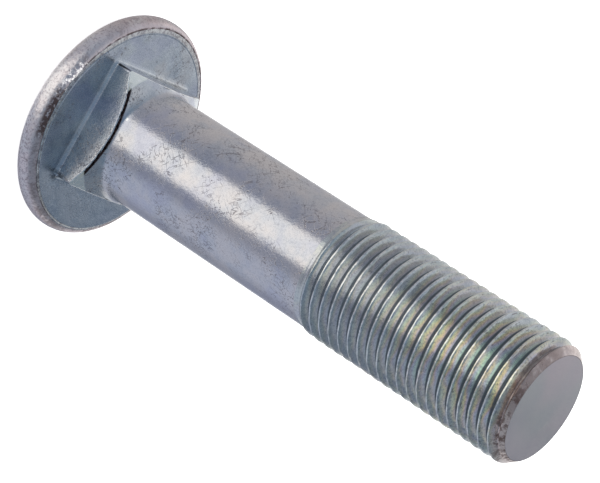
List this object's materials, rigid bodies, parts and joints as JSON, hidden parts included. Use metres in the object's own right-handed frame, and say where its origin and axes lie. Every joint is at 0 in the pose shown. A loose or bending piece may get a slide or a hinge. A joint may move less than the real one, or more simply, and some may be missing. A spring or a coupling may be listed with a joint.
{
  "type": "wheel bolt",
  "caption": "Zinc-plated wheel bolt with a low round head, a square neck, a plain shank and a fine-threaded end.",
  "frame": {"origin": "centre of the flat seat under the head, on the bolt's axis", "axes": "+Z along the axis from the head to the threaded tip; X and Y square to the flats of the neck"},
  "size_m": [0.03, 0.03, 0.0728],
  "materials": {
    "zinc_plated_steel": "bright zinc plating"
  },
  "bodies": {
    "root": {"wheel_bolt": "zinc_plated_steel"}
  },
  "joints": []
}
